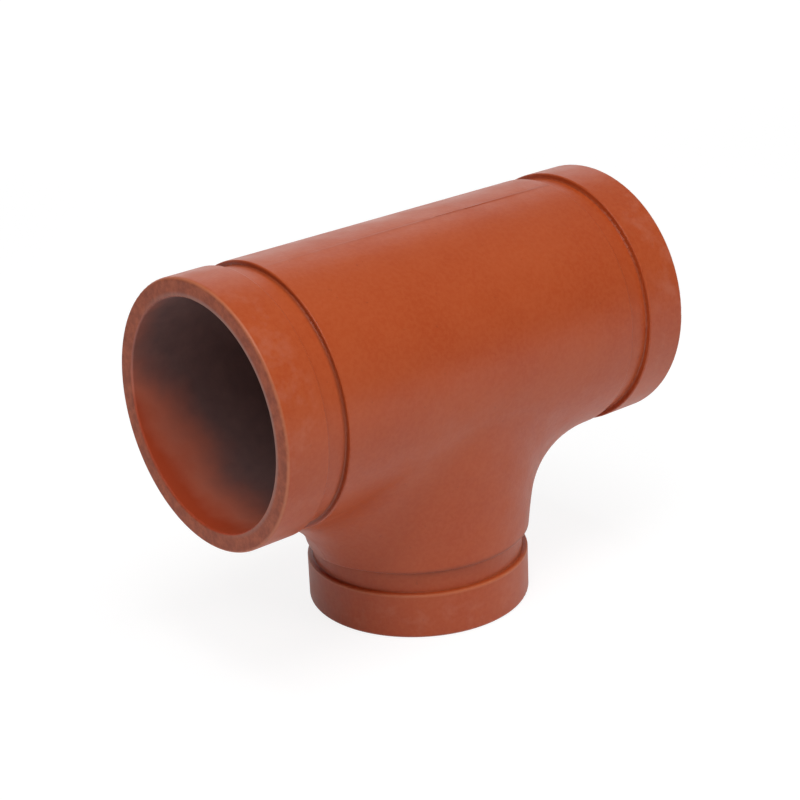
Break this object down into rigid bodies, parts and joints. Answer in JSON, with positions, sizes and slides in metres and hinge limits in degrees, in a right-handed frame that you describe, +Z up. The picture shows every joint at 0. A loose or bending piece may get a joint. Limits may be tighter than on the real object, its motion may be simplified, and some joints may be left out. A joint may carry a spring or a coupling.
{
  "type": "grooved reducing tee",
  "caption": "Cast iron pipe tee with grooved ends: a straight run and a smaller branch at right angles, joined by a wide swept neck.",
  "frame": {"origin": "centre of the branch's end face, on the surface the tee stands on", "axes": "+Z up along the branch's centre line, X along the run's centre line"},
  "size_m": [0.17, 0.0888, 0.1335],
  "materials": {
    "tee_body": "satin orange-red paint on as-cast ductile iron"
  },
  "bodies": {
    "root": {"tee_body": "tee_body"}
  },
  "joints": []
}
